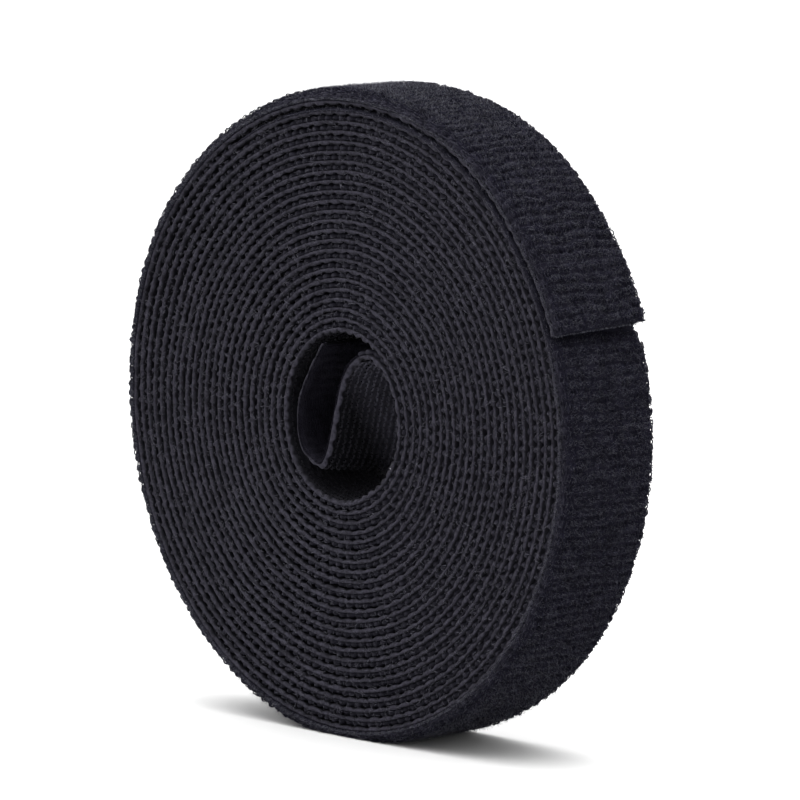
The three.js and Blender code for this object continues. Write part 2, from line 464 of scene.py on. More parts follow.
# The pile that stands free. It leans to the back: it slopes at the tape's front edge and is steep behind.
LOOP_RISE = 0.45
LEAST_SHARE = 0.35
FRONT_SHOULDER = 1.5
BACK_SHOULDER = 0.6
BACK_SPLAY = 0.35
SPLAY_FROM = 8.0
EDGE_OVERHANG = 0.06
ROW_DRIFT = (0.26, 9.0, 5.0, 61)
ROW_JITTER = (0.13, 2.0, 2.0, 62)
GROOVE_WIDTH = 0.30
GROOVE_DEPTH = 0.25
GROUND_LUMPS = (0.10, 1.2, 1.0, 64)
GROUND_GRAIN = (0.08, 0.6, 0.6, 65)
WALL_WAVES = (0.08, 1.0, 30.0, 66)
WALL_NOTCH = 0.25
WALL_POWER = 6
PILE_ACROSS = 58
EDGE_CROWDING = 1.12
UNDER_EDGE = 9.4
OPENING = (Q_UNCOVERED - 0.02, Q_UNCOVERED + 0.20)
CUT_DROP = 0.5
CUT_DROP_STEPS = 0.06


def row_wander(lengths, y):
    """How far the pile's rows of loops wander along the tape, in rows."""
    return lumps(lengths, y, *ROW_DRIFT) + lumps(lengths, y, *ROW_JITTER)


def pile_groove(lengths, y):
    """Grooves across the pile, between its rows of loops: 0 on a row and 1 deep in a groove."""
    phase = lengths / RIB_PERIOD + row_wander(lengths, y)
    away = np.abs(phase - np.round(phase)) * RIB_PERIOD
    return np.exp(-(away / GROOVE_WIDTH) ** 2)


def pile_share(height):
    """Pile height as a share of the free pile's."""
    return np.clip(height / FREE_HIGH, LEAST_SHARE, 1.0)


def shoulder_width(y):
    return np.where(y < 0, FRONT_SHOULDER, BACK_SHOULDER)


def pile_ground(lengths, y, height):
    """Height of the knitted ground under the loops: shallow grooves, lumps and rounded edges."""
    inset = np.clip((HALF_WIDTH + EDGE_OVERHANG - np.abs(y)) / shoulder_width(y), 0.0, 1.0)
    edge = np.sqrt(1.0 - (1.0 - inset) ** 2)
    relief = lumps(lengths, y, *GROUND_LUMPS) + lumps(lengths, y, *GROUND_GRAIN)
    relief = relief - GROOVE_DEPTH * pile_groove(lengths, y)
    share = pile_share(height)
    return PILE_LOW + (height - LOOP_RISE * share - PILE_LOW) * edge + share * edge * relief


def splayed(y):
    """Place across the pile, which spreads a little past the tape's back edge."""
    return y + BACK_SPLAY * ramp(y, SPLAY_FROM, HALF_WIDTH)


def free_height(q):
    """Pile height on the rim: pressed under the free end, and standing past its cut."""
    shown = PILE_HIGH + (FREE_HIGH - PILE_HIGH) * ramp(q, *OPENING)
    return shown - CUT_DROP * ramp(q, Q_END - CUT_DROP_STEPS, Q_END)


def tail_height(q):
    """Pile height on the inner tail, where the winding has pressed it."""
    return np.full(np.shape(q), PILE_HIGH)


def free_pile(name, q, lengths, heights, material):
    """The knitted ground of pile that stands free, with notched side walls."""
    steps = np.linspace(-1.0, 1.0, PILE_ACROSS)
    y = HALF_WIDTH * np.sign(steps) * (1.0 - (1.0 - np.abs(steps)) ** EDGE_CROWDING)
    along, across = lengths[:, None], y[None, :]
    notch = WALL_NOTCH * np.sign(y) * pile_groove(along, across) * pile_share(heights)[:, None]
    wall = lumps(along, across, *WALL_WAVES) - notch
    ring_y = splayed(y) + wall * (np.abs(y) / HALF_WIDTH) ** WALL_POWER
    offset = pile_ground(along, across, heights[:, None])
    under_y = np.tile([UNDER_EDGE, -UNDER_EDGE], (len(q), 1))
    under = np.full((len(q), 2), PILE_LOW)
    return band(name, q, np.hstack([ring_y, under_y]), np.hstack([offset, under]), material)


# Fibres of all kinds.
LEAN_MARGIN = 0.5
LEAN_POWER = 1.5
LEAN_MOST = 1.2
WALL_LEAN = 0.05
ARCH_ROUND = 0.7
HAIR_CURL = 1.7
HAIR_TAPER = np.array([1.0, 0.9, 0.6])
HAIR_SIDES = 3
YARN_STEP = 0.5


def end_cap(ring, first, second):
    """Triangles that close one end of each fibre."""
    hub = np.repeat(ring[:, :1], len(first), axis=1)
    return np.stack([hub, ring[:, first], ring[:, second]], -1)


def tubes(name, centres, planes, radii, sides, material):
    """Closed fibres along planar lines of points."""
    count, rings, _ = centres.shape
    along = unit(np.gradient(centres, axis=1))
    across = unit(np.cross(along, planes[:, None, :]))
    turn = np.arange(sides) * 2 * math.pi / sides
    ring = turned(turn, planes[:, None, None, :], across[:, :, None, :])
    verts = centres[:, :, None, :] + radii[:, :, None, None] * ring
    index = np.arange(count * rings * sides).reshape(count, rings, sides)
    after = np.roll(index, -1, axis=2)
    quads = np.stack([index[:, :-1], index[:, 1:], after[:, 1:], after[:, :-1]], -1)
    fan = np.arange(1, sides - 1)
    start = end_cap(index[:, 0], fan, fan + 1)
    end = end_cap(index[:, -1], fan + 1, fan)
    return add_mesh(name, verts.reshape(-1, 3), quads, np.concatenate([start, end]), material)


def edge_lean(y, outward):
    """Outward directions that fan out over the tape's edges."""
    shoulder = shoulder_width(y) + LEAN_MARGIN
    past = np.clip((np.abs(y) - HALF_WIDTH + shoulder) / shoulder, 0.0, 1.0)
    return turned(past ** LEAN_POWER * LEAN_MOST * np.sign(y), outward, CROSSWISE)


def arches(name, base, outward, reach, side, span, rise, lean, radii, points, sides, material):
    """Arched yarns: feet apart along reach, tops raised along outward and pushed over along side."""
    t = np.linspace(0.0, 1.0, points)
    top = outward * rise[:, None] + side * lean[:, None]
    centres = base[:, None, :] + (t - 0.5)[:, None] * (reach * span[:, None])[:, None, :]
    centres = centres + (np.sin(math.pi * t) ** ARCH_ROUND)[:, None] * top[:, None, :]
    thick = np.repeat(radii[:, None], points, axis=1)
    return tubes(name, centres, unit(np.cross(reach, top)), thick, sides, material)


def hairs(name, base, outward, reach, tilt, length, radii, material):
    """Fine hairs that leave their feet along outward, bend over towards reach and taper."""
    half = 0.5 * length[:, None]
    middle = base + half * turned(tilt, outward, reach)
    tip = middle + half * turned(HAIR_CURL * tilt, outward, reach)
    centres = np.stack([base, middle, tip], 1)
    thick = radii[:, None] * HAIR_TAPER
    return tubes(name, centres, unit(np.cross(reach, outward)), thick, HAIR_SIDES, material)


def loop_frame(q, y, foot, over, turn):
    """Feet and directions of loops that stand on the pile, or over its side walls."""
    base, outward, lengthwise = on_tape(q, splayed(y), foot)
    outward = edge_lean(y * (1.0 + WALL_LEAN * over), outward)
    reach = turned(turn, lengthwise, CROSSWISE)
    side = turned(turn, CROSSWISE, -lengthwise)
    return base, outward, reach, side


# Yarns that stand up the pile's side walls.
STRAND_SPACING = 0.13
STRAND_MARGIN = 0.3
STRAND_INSET = 0.10
FRONT_LIP = 0.12
BACK_LIP = 0.4
STRAND_MIDDLE = (0.45, 0.65)
STRAND_TURN = 0.35
STRAND_SPAN = (0.7, 1.1)
STRAND_RISE = (0.06, 0.24)
STRAND_LEAN = 0.10
STRAND_RADIUS = (0.06, 0.11)


def side_strands(start, end, heights, rng):
    """Yarns on the pile's two side walls in turn, as feet, directions and sizes of arches."""
    places, lengths = spaced(start, end, YARN_STEP)
    count = int((lengths[-1] - lengths[0]) / STRAND_SPACING)
    run = rng.uniform(lengths[0], lengths[-1] - STRAND_MARGIN, count)
    face = np.where(np.arange(count) % 2 == 0, BACK, FRONT)
    q = np.interp(run, lengths, places)
    lip = np.where(face < 0, FRONT_LIP, BACK_LIP)
    tall = pile_ground(run, face * (HALF_WIDTH - lip), heights(q)) - PILE_LOW
    middle = PILE_LOW + tall * rng.uniform(*STRAND_MIDDLE, count)
    base, normal, lengthwise = on_tape(q, splayed(face * (HALF_WIDTH - STRAND_INSET)), middle)
    reach = turned(rng.normal(0.0, STRAND_TURN, count), normal, lengthwise)
    outward = face[:, None] * CROSSWISE
    span = tall * rng.uniform(*STRAND_SPAN, count)
    rise = rng.uniform(*STRAND_RISE, count)
    lean = rng.normal(0.0, STRAND_LEAN, count)
    radii = rng.uniform(*STRAND_RADIUS, count)
    return base, outward, reach, lengthwise, span, rise, lean, radii


# Loops in rows across the pile. Some bridge the grooves, in patches and near the edges.
ROWS_PER_RIB = 2
ROW_INSET = 0.1
LOOP_STRAY = 0.15
BRIDGE_PATCHES = (1.0, 2.6, 2.2, 67)
BRIDGE_LEVEL = 0.25
BRIDGE_EDGE_GAIN = 2.0
BRIDGE_EDGE = (8.8, 9.6)
LOOPS_MISSING = 0.08
LOOP_SHIFT = 0.10
LOOP_MARGIN = 0.65
LOOP_SINK = 0.06
LOOP_TURN = 0.24
LOOP_SPAN = (0.95, 1.4)
LOOP_HEIGHTS = (0.75, 1.15)
LOOP_FLATTENING = 0.60
LOOP_FLAT_EDGE = (8.8, 9.7)
LOOP_LEAN = 0.12
LOOP_RADIUS = (0.085, 0.135)
LOOP_THINNEST = 0.6
LOOP_POINTS, LOOP_SIDES = 6, 4


def pile_rows(name, start, end, heights, across, seed, material):
    """Rows of yarn loops across the pile, and the yarns on its side walls."""
    rng = np.random.default_rng(seed)
    places, lengths = spaced(start, end, YARN_STEP)
    first, last = np.ceil(ROWS_PER_RIB * lengths[[0, -1]] / RIB_PERIOD)
    rows = np.arange(first, last) / ROWS_PER_RIB
    row = np.repeat(rows, across)
    y = np.tile(np.linspace(-HALF_WIDTH + ROW_INSET, HALF_WIDTH - ROW_INSET, across), len(rows))
    y = np.clip(y + rng.uniform(-LOOP_STRAY, LOOP_STRAY, len(row)), -HALF_WIDTH, HALF_WIDTH)
    level = BRIDGE_LEVEL - BRIDGE_EDGE_GAIN * ramp(np.abs(y), *BRIDGE_EDGE)
    bridged = lumps(row * RIB_PERIOD, y, *BRIDGE_PATCHES) > level
    kept = (rng.uniform(0.0, 1.0, len(row)) > LOOPS_MISSING) & ((row % 1.0 > 0.0) | bridged)
    row, y = row[kept], y[kept]
    count = len(row)
    run = RIB_PERIOD * (row - row_wander(row * RIB_PERIOD, y)) + rng.normal(0.0, LOOP_SHIFT, count)
    run = np.clip(run, lengths[0], lengths[-1] - LOOP_MARGIN)
    q = np.interp(run, lengths, places)
    height = heights(q)
    share = pile_share(height)
    foot = pile_ground(run, y, height) - LOOP_SINK
    turn = rng.normal(0.0, LOOP_TURN, count)
    base, outward, reach, side = loop_frame(q, y, foot, np.zeros(count), turn)
    span = rng.uniform(*LOOP_SPAN, count)
    flattened = 1.0 - LOOP_FLATTENING * ramp(np.abs(y), *LOOP_FLAT_EDGE)
    rise = LOOP_RISE * share * rng.uniform(*LOOP_HEIGHTS, count) * flattened
    lean = share * rng.normal(0.0, LOOP_LEAN, count)
    radii = rng.uniform(*LOOP_RADIUS, count) * (LOOP_THINNEST + (1.0 - LOOP_THINNEST) * share)
    loops = (base, outward, reach, side, span, rise, lean, radii)
    both = [np.concatenate(pair) for pair in zip(loops, side_strands(start, end, heights, rng))]
    return arches(name, *both, LOOP_POINTS, LOOP_SIDES, material)


# Brushed fuzz over the pile and down its side walls.
FUZZ_WALL = 2.2
FUZZ_OFF_GROOVES = (0.1, 0.9)
FUZZ_WALL_DROP = 0.85
FUZZ_LIFT = (0.05, 0.40)
FUZZ_TILT = (0.2, 0.9)
FUZZ_LENGTH = (0.35, 0.95)
FUZZ_RADIUS = (0.011, 0.017)


def pile_fuzz(name, start, end, heights, density, seed):
    """The brushed fuzz over the pile: fine hairs, most of them bent over."""
    rng = np.random.default_rng(seed)
    places, lengths = spaced(start, end, YARN_STEP)
    count = int((lengths[-1] - lengths[0]) * 2 * (HALF_WIDTH + FUZZ_WALL) * density)
    run = rng.uniform(lengths[0], lengths[-1], count)
    y = rng.uniform(-HALF_WIDTH - FUZZ_WALL, HALF_WIDTH + FUZZ_WALL, count)
    over = np.clip((np.abs(y) - HALF_WIDTH) / FUZZ_WALL, 0.0, 1.0)
    y = np.clip(y, -HALF_WIDTH, HALF_WIDTH)
    on_row = rng.uniform(*FUZZ_OFF_GROOVES, count) > pile_groove(run, y)
    run, y, over = run[on_row], y[on_row], over[on_row]
    count = len(run)
    q = np.interp(run, lengths, places)
    height = heights(q)
    share = pile_share(height)
    foot = PILE_LOW + (1.0 - FUZZ_WALL_DROP * over) * (pile_ground(run, y, height) - PILE_LOW)
    foot = foot + share * rng.uniform(*FUZZ_LIFT, count) * (over == 0)
    turn = rng.uniform(0.0, 2 * math.pi, count)
    base, outward, reach, _ = loop_frame(q, y, foot, over > 0, turn)
    tilt = rng.uniform(*FUZZ_TILT, count)
    length = share * rng.uniform(*FUZZ_LENGTH, count)
    radii = rng.uniform(*FUZZ_RADIUS, count)
    return hairs(name, base, outward, reach, tilt, length, radii, fibre_material)


# Loose lint on the winding's two faces.
LINT_STEP = 2.0
LINT_INSET = 0.08
LINT_OFFSET = (-0.5, 1.2)
LINT_TILT = (0.7, 1.0)
LINT_LENGTH = (0.3, 1.0)
LINT_RADIUS = (0.020, 0.042)


def edge_lint(name, start, end, face, count, seed):
    """Short loose hairs on one side of the winding, over the tape's edges."""
    rng = np.random.default_rng(seed)
    places, lengths = spaced(start, end, LINT_STEP)
    q = np.interp(rng.uniform(lengths[0], lengths[-1], count), lengths, places)
    y = np.full(count, face * (HALF_WIDTH - LINT_INSET))
    base, radial, lengthwise = on_tape(q, y, rng.uniform(*LINT_OFFSET, count))
    reach = turned(rng.uniform(0.0, 2 * math.pi, count), lengthwise, radial)
    outward = face * CROSSWISE
    tilt = rng.uniform(*LINT_TILT, count)
    length = rng.uniform(*LINT_LENGTH, count)
    radii = rng.uniform(*LINT_RADIUS, count)
    return hairs(name, base, outward, reach, tilt, length, radii, lint_material)


# Yarn ends at the cut outer end. Those at its back corner are thicker and farther astray.
FRAY_COUNT = 260
CORNER_COUNT = 26
CORNER_ACROSS = (-0.4, 0.3)
CORNER_OFFSET = (0.7, 1.6)
CORNER_AHEAD = 0.35
CORNER_UP = 0.35
CORNER_SPAN = (0.5, 1.1)
CORNER_RADIUS = (0.06, 0.10)
FRAY_OFFSET = (HOOK_LOW, FREE_HIGH - 0.5)
FRAY_STRAY_UP = 0.3
FRAY_STRAY_ACROSS = 0.4
FRAY_SPAN = (0.4, 1.1)
FRAY_RISE = (0.03, 0.12)
FRAY_LEAN = 0.08
FRAY_RADIUS = (0.03, 0.06)
FRAY_POINTS, FRAY_SIDES = 5, 3


def end_fray(name, seed):
    """Yarn ends that stick out of the cut outer end."""
    rng = np.random.default_rng(seed)
    count = FRAY_COUNT
    corner = np.arange(count) < CORNER_COUNT
    y = rng.uniform(-HALF_WIDTH, HALF_WIDTH, count)
    y[corner] = HALF_WIDTH + rng.uniform(*CORNER_ACROSS, CORNER_COUNT)
    offset = rng.uniform(*FRAY_OFFSET, count)
    offset[corner] = rng.uniform(*CORNER_OFFSET, CORNER_COUNT)
    base, outward, lengthwise = on_tape(np.full(count, Q_END), y, offset)
    ahead = np.where(corner, CORNER_AHEAD, 1.0)[:, None]
    up = CORNER_UP * corner[:, None] + rng.normal(0, FRAY_STRAY_UP, (count, 1))
    across = corner[:, None] + rng.normal(0, FRAY_STRAY_ACROSS, (count, 1))
    reach = unit(ahead * lengthwise + up * outward + across * CROSSWISE)
    side = np.cross(reach, outward)
    span = np.where(corner, rng.uniform(*CORNER_SPAN, count), rng.uniform(*FRAY_SPAN, count))
    rise = rng.uniform(*FRAY_RISE, count)
    lean = rng.normal(0.0, FRAY_LEAN, count)
    radii = np.where(corner, rng.uniform(*CORNER_RADIUS, count), rng.uniform(*FRAY_RADIUS, count))
    sizes = (span, rise, lean, radii, FRAY_POINTS, FRAY_SIDES)
    return arches(name, base, outward, reach, side, *sizes, yarn_material)


# The pale edge of the cut outer end.
CUT_COUNT = 130
CUT_WIDTHS = (-HALF_WIDTH + 0.4, HALF_WIDTH - 0.3)
CUT_STRAY_ALONG = 0.25
CUT_STRAY_UP = 0.15
CUT_SPAN = (0.6, 1.6)
CUT_RISE = (0.02, 0.10)
CUT_RADIUS = (0.05, 0.10)
CUT_POINTS, CUT_SIDES = 5, 4


def cut_edge(name, seed):
    """The pale, rough edge that the cut leaves on the hook side's band."""
    rng = np.random.default_rng(seed)
    count = CUT_COUNT
    y = rng.uniform(*CUT_WIDTHS, count)
    offset = rng.uniform(HOOK_LOW, HOOK_HIGH, count)
    base, outward, lengthwise = on_tape(np.full(count, Q_END), y, offset)
    along = rng.normal(0, CUT_STRAY_ALONG, (count, 1))
    up = rng.normal(0, CUT_STRAY_UP, (count, 1))
    reach = unit(CROSSWISE + along * lengthwise + up * outward)
    span = rng.uniform(*CUT_SPAN, count)
    rise = rng.uniform(*CUT_RISE, count)
    radii = rng.uniform(*CUT_RADIUS, count)
    sizes = (span, rise, np.zeros(count), radii, CUT_POINTS, CUT_SIDES)
    return arches(name, base, lengthwise, reach, outward, *sizes, fibre_material)


# Hooks: their grid, and the height, reach and thickness along one hook.
HOOK_COLUMNS = 13
HOOK_ACROSS = 1.43
HOOK_ALONG = 0.90
HOOK_STRAY_ACROSS = 0.06
HOOK_STRAY_STEPS = 0.006
HOOK_SINK = 0.05
HOOK_TWIST = 0.12
HOOK_SIZES = (0.85, 1.1)
HOOK_UP = np.array([0.0, 0.24, 0.42, 0.50, 0.46, 0.32])
HOOK_OUT = np.array([-0.28, -0.33, -0.24, 0.02, 0.26, 0.36])
HOOK_RADII = np.array([0.22, 0.20, 0.19, 0.19, 0.18, 0.13])
HOOK_SIDES = 5
SMALL_HOOKS = 0.75


def hook_rows(name, start, end, seed, material, size=1.0):
    """Rows of small bent hooks on the tape's hook side."""
    rng = np.random.default_rng(seed)
    rows, _ = spaced(start, end, HOOK_ALONG)
    rows = 0.5 * (rows[1:] + rows[:-1])
    columns = np.tile(np.arange(HOOK_COLUMNS), len(rows))
    count = len(columns)
    y = (columns - (HOOK_COLUMNS - 1) / 2) * HOOK_ACROSS + rng.normal(0, HOOK_STRAY_ACROSS, count)
    q = np.repeat(rows, HOOK_COLUMNS) + rng.normal(0, HOOK_STRAY_STEPS, count)
    base, outward, lengthwise = on_tape(q, y, HOOK_LOW + HOOK_SINK)
    side = np.where(columns % 2 == 0, 1.0, -1.0)[:, None]
    bend = unit(side * lengthwise + rng.normal(0, HOOK_TWIST, count)[:, None] * CROSSWISE)
    scale = size * rng.uniform(*HOOK_SIZES, count)[:, None, None]
    shape = -HOOK_UP[:, None] * outward[:, None, :] + HOOK_OUT[:, None] * bend[:, None, :]
    radii = np.tile(size * HOOK_RADII, (count, 1))
    planes = unit(np.cross(outward, bend))
    return tubes(name, base[:, None, :] + scale * shape, planes, radii, HOOK_SIDES, material)


# Materials: noise scales to the metre, depths of bumps and places of edges in metres.
MOTTLE_ENDS = (0.32, 0.68)
BAND_SCALE, BAND_DETAIL = 900.0, 3.0
EDGE_SCALE = 1500.0
PILE_SCALE, PILE_DETAIL = 420.0, 5.0
FINE_SCALE, FINE_DETAIL = 2600.0, 4.0
BAND_BUMP = (0.5, 0.00012)
PILE_BUMP = (0.7, 0.00025)
BAND_GLOSS = {"Roughness": 0.72, "Specular IOR Level": 0.05}
PILE_SHEEN = {"Sheen Roughness": 0.45, "Sheen Tint": (0.50, 0.53, 0.68, 1.0)}
BAND_EDGE = (0.00972, 0.00996)
TAIL_EDGE = (0.0094, 0.0098)
TUFT_EDGE = (0.0090, 0.0098)
WALL_EDGE = (0.0095, 0.0099)

# The inner tail's hook side has painted light towards its root and painted shade low down and near its front
# edge, along this direction.
PAINTED_LIGHT_DIRECTION = (0.0, 1.2, 1.0)
PAINTED_LIGHT_FROM = (AXIS_HEIGHT - 7.0) * MM
PAINTED_LIGHT_TO = (AXIS_HEIGHT + 1.0) * MM

# Colours, each from its darkest to its palest spots.
BAND_COLOURS = [(0.0075, 0.0073, 0.0098), (0.0162, 0.0157, 0.0205)]
BAND_EDGE_COLOURS = [(0.0101, 0.0095, 0.0132), (0.0375, 0.0356, 0.0488)]
# Painted light and painted shade for the inner tail's hook side: a lit copy and a shaded copy of its
# colours.
PAINTED_LIT_COLOURS = [(0.0220, 0.0211, 0.0290), (0.0370, 0.0355, 0.0480)]
PAINTED_SHADE_COLOURS = [(0.0030, 0.0029, 0.0042), (0.0055, 0.0053, 0.0074)]
RUN_EDGE_COLOURS = [(0.0120, 0.0115, 0.0160), (0.0380, 0.0361, 0.0494)]
END_EDGE_COLOURS = [(0.0086, 0.0083, 0.0115), (0.0274, 0.0260, 0.0356)]
WOUND_PILE_COLOURS = [(0.0092, 0.0088, 0.0130), (0.0185, 0.0177, 0.0260)]
TUFT_COLOURS = [(0.0100, 0.0096, 0.0134), (0.0262, 0.0250, 0.0343)]
HOOK_TIP_COLOURS = [(0.0060, 0.0058, 0.0077), (0.0100, 0.0097, 0.0126)]
# Painted light and painted shade for the inner tail's hook tips: a lit copy and a shaded copy of their
# colours.
PAINTED_LIT_TIP_COLOURS = [(0.036, 0.0346, 0.0460), (0.060, 0.0577, 0.0760)]
PAINTED_SHADE_TIP_COLOURS = [(0.0060, 0.0058, 0.0078), (0.0110, 0.0106, 0.0140)]
GROUND_COLOURS = [(0.0052, 0.0049, 0.0085), (0.0104, 0.0097, 0.0165)]
YARN_COLOURS = [(0.0048, 0.0044, 0.0084), (0.0098, 0.0092, 0.0166)]
WALL_COLOURS = [(0.0105, 0.0100, 0.0150), (0.0235, 0.0224, 0.0325)]
TAIL_PILE_COLOURS = [(0.0046, 0.0043, 0.0067), (0.0095, 0.0089, 0.0132)]
FUZZ_COLOURS = [(0.028, 0.028, 0.039), (0.054, 0.054, 0.073)]
LINT_COLOURS = [(0.020, 0.0196, 0.0252), (0.110, 0.108, 0.132)]


def set_inputs(node, values):
    for name, value in values.items():
        node.inputs[name].default_value = value


def nodes_of(name):
    """A new material with one shader."""
    material = bpy.data.materials.new(name)
    material.use_nodes = True
    tree = material.node_tree
    tree.nodes.clear()
    output = tree.nodes.new("ShaderNodeOutputMaterial")
    shader = tree.nodes.new("ShaderNodeBsdfPrincipled")
    tree.links.new(shader.outputs["BSDF"], output.inputs["Surface"])
    return material, tree, shader


def noise_over(tree, where, scale, detail):
    noise = tree.nodes.new("ShaderNodeTexNoise")
    set_inputs(noise, {"Scale": scale, "Detail": detail})
    tree.links.new(where, noise.inputs["Vector"])
    return noise.outputs["Fac"]


def mottled(tree, noise, colours):
    """A colour that wanders between two values, as a noise says."""
    blend = tree.nodes.new("ShaderNodeValToRGB")
    for element, position, colour in zip(blend.color_ramp.elements, MOTTLE_ENDS, colours):
        element.position = position
        element.color = (*colour, 1.0)
    tree.links.new(noise, blend.inputs["Fac"])
    return blend.outputs["Color"]


def blended(tree, factor, first, second):
    """A colour between two others, as a mask says."""
    mix = tree.nodes.new("ShaderNodeMix")
    mix.data_type = "RGBA"
    tree.links.new(factor, mix.inputs["Factor"])
    tree.links.new(first, mix.inputs["A"])
    tree.links.new(second, mix.inputs["B"])
    return mix.outputs["Result"]


def distance_along(tree, where, direction):
    along = tree.nodes.new("ShaderNodeVectorMath")
    along.operation = "DOT_PRODUCT"
    along.inputs[1].default_value = direction
    tree.links.new(where, along.inputs[0])
    return along.outputs["Value"]


def mask_between(tree, value, start, end, low=0.0, high=1.0):
    """From low where a value is at start to high where it is at end."""
    mask = tree.nodes.new("ShaderNodeMapRange")
    set_inputs(mask, {"From Min": start, "From Max": end, "To Min": low, "To Max": high})
    tree.links.new(value, mask.inputs["Value"])
    return mask.outputs["Result"]


def painted_light_mask(tree, where):
    """Painted shade to painted light: 0 low on the inner tail and near its front edge, 1 near its root."""
    return mask_between(tree, distance_along(tree, where, PAINTED_LIGHT_DIRECTION), PAINTED_LIGHT_FROM, PAINTED_LIGHT_TO)


def edge_mask(tree, where, edge):
    """From 0 inside the tape's width to 1 at its two edges."""
    size = tree.nodes.new("ShaderNodeMath")
    size.operation = "ABSOLUTE"
    tree.links.new(distance_along(tree, where, CROSSWISE), size.inputs[0])
    return mask_between(tree, size.outputs[0], *edge)


def add_bump(tree, shader, noise, strength, distance):
    bump = tree.nodes.new("ShaderNodeBump")
    set_inputs(bump, {"Strength": strength, "Distance": distance})
    tree.links.new(noise, bump.inputs["Height"])
    tree.links.new(bump.outputs["Normal"], shader.inputs["Normal"])


def make_edged_material(name, colours, edge_colours, edge, painted_shade_colours=None):
    """Charcoal yarn: darker inside, paler at the tape's two edges."""
    material, tree, shader = nodes_of(name)
    where = tree.nodes.new("ShaderNodeTexCoord").outputs["Object"]
    noise = noise_over(tree, where, BAND_SCALE, BAND_DETAIL)
    face = mottled(tree, noise, colours)
    # Painted shade and painted light: the shaded colours low and near the front edge, the given colours
    # towards the root.
    if painted_shade_colours:
        face = blended(tree, painted_light_mask(tree, where), mottled(tree, noise, painted_shade_colours), face)
    rim = mottled(tree, noise_over(tree, where, EDGE_SCALE, BAND_DETAIL), edge_colours)
    tree.links.new(blended(tree, edge_mask(tree, where, edge), face, rim), shader.inputs["Base Color"])
    set_inputs(shader, BAND_GLOSS)
    add_bump(tree, shader, noise, *BAND_BUMP)
    return material


def make_pile_material(
        name, colours, sheen, roughness=0.95, specular=0.10, painted_shade_colours=None, wall_colours=None):
    """Soft yarn with a faint sheen; optionally painted shade low on the inner tail, and its own colours on
    side walls.
    """
    material, tree, shader = nodes_of(name)
    where = tree.nodes.new("ShaderNodeTexCoord").outputs["Object"]
    noise = noise_over(tree, where, PILE_SCALE, PILE_DETAIL)
    colour = mottled(tree, noise, colours)
    # Painted shade and painted light: the shaded colours low and near the front edge, the given colours
    # towards the root.
    if painted_shade_colours:
        colour = blended(tree, painted_light_mask(tree, where), mottled(tree, noise, painted_shade_colours), colour)
    if wall_colours:
        colour = blended(tree, edge_mask(tree, where, WALL_EDGE), colour, mottled(tree, noise, wall_colours))
    tree.links.new(colour, shader.inputs["Base Color"])
    set_inputs(shader, {"Roughness": roughness, "Specular IOR Level": specular, "Sheen Weight": sheen})
    set_inputs(shader, PILE_SHEEN)
    add_bump(tree, shader, noise_over(tree, where, FINE_SCALE, FINE_DETAIL), *PILE_BUMP)
    return material


hook_material = make_edged_material("hook_tape_nylon", BAND_COLOURS, BAND_EDGE_COLOURS, BAND_EDGE)
# The inner tail's run: painted light near its root, painted shade low down and near its front edge.
tail_hook_material = make_edged_material(
    "tail_hook_nylon", PAINTED_LIT_COLOURS, RUN_EDGE_COLOURS, TAIL_EDGE, painted_shade_colours=PAINTED_SHADE_COLOURS)
# The tail end's face takes the shaded colours throughout, as painted shade.
tail_end_material = make_edged_material("tail_end_nylon", PAINTED_SHADE_COLOURS, END_EDGE_COLOURS, TAIL_EDGE)
wound_pile_material = make_edged_material("wound_pile_yarn", WOUND_PILE_COLOURS, TUFT_COLOURS, TUFT_EDGE)
hook_tip_material = make_pile_material("hook_tips", HOOK_TIP_COLOURS, sheen=0.02)
# The inner tail's hook tips: painted light near the root, painted shade low down and near the front edge.
tail_tip_material = make_pile_material(
    "tail_hook_tips", PAINTED_LIT_TIP_COLOURS, sheen=0.02, painted_shade_colours=PAINTED_SHADE_TIP_COLOURS)
pile_material = make_pile_material(
    "loop_pile_ground", GROUND_COLOURS, sheen=0.04, specular=0.04, wall_colours=WALL_COLOURS)
yarn_material = make_pile_material(
    "loop_pile_yarn", YARN_COLOURS, sheen=0.06, roughness=0.90, specular=0.04, wall_colours=WALL_COLOURS)
tail_pile_material = make_pile_material("tail_pile_yarn", TAIL_PILE_COLOURS, sheen=0.0, specular=0.03)
fibre_material = make_pile_material(
    "loop_pile_fuzz", FUZZ_COLOURS, sheen=0.10, roughness=0.45, specular=0.50)
lint_material = make_pile_material("edge_lint", LINT_COLOURS, sheen=0.05)


def hold(piece, slot, first, second=None, start=None, end=None):
    """Ties a piece to one body, or with a second body only bakes its transform into its mesh."""
    if second is None:
        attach(piece, first)
    else:
        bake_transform(piece)
    return piece


def spot(q):
    """A point of the tape's line in the model's frame, in metres."""
    x, z = line(q)[0]
    return (x * MM, 0.0, (z + AXIS_HEIGHT) * MM)


# Spacing of cross-sections, loops across the pile, hairs to a square millimetre, and seeds.
BAND_SPACING = 0.46
PRESSED_SPACING = 0.36
FREE_SPACING = 0.26
TAIL_SPACING = 0.34
FREE_LOOPS = 66
COVERED_LOOPS = 40
TAIL_LOOPS = 56
FREE_FUZZ = 13.0
COVERED_FUZZ = 8.0
LINT_COUNT = 12000
RIM_PARTS = 6
COVERED_MARGIN = 0.5
SHOWN_MARGIN = 0.02
BORE_HOOK_SEED = 101
LINT_SEEDS = {FRONT: 171, BACK: 172}
RIM_ROW_SEED, RIM_FUZZ_SEED = 150, 110
LINK_HOOK_SEED, LINK_ROW_SEED, LINK_FUZZ_SEED = 120, 160, 130
CUT_SEED, FRAY_SEED = 181, 182
TAIL_HOOK_SEED, TAIL_ROW_SEED = 141, 143


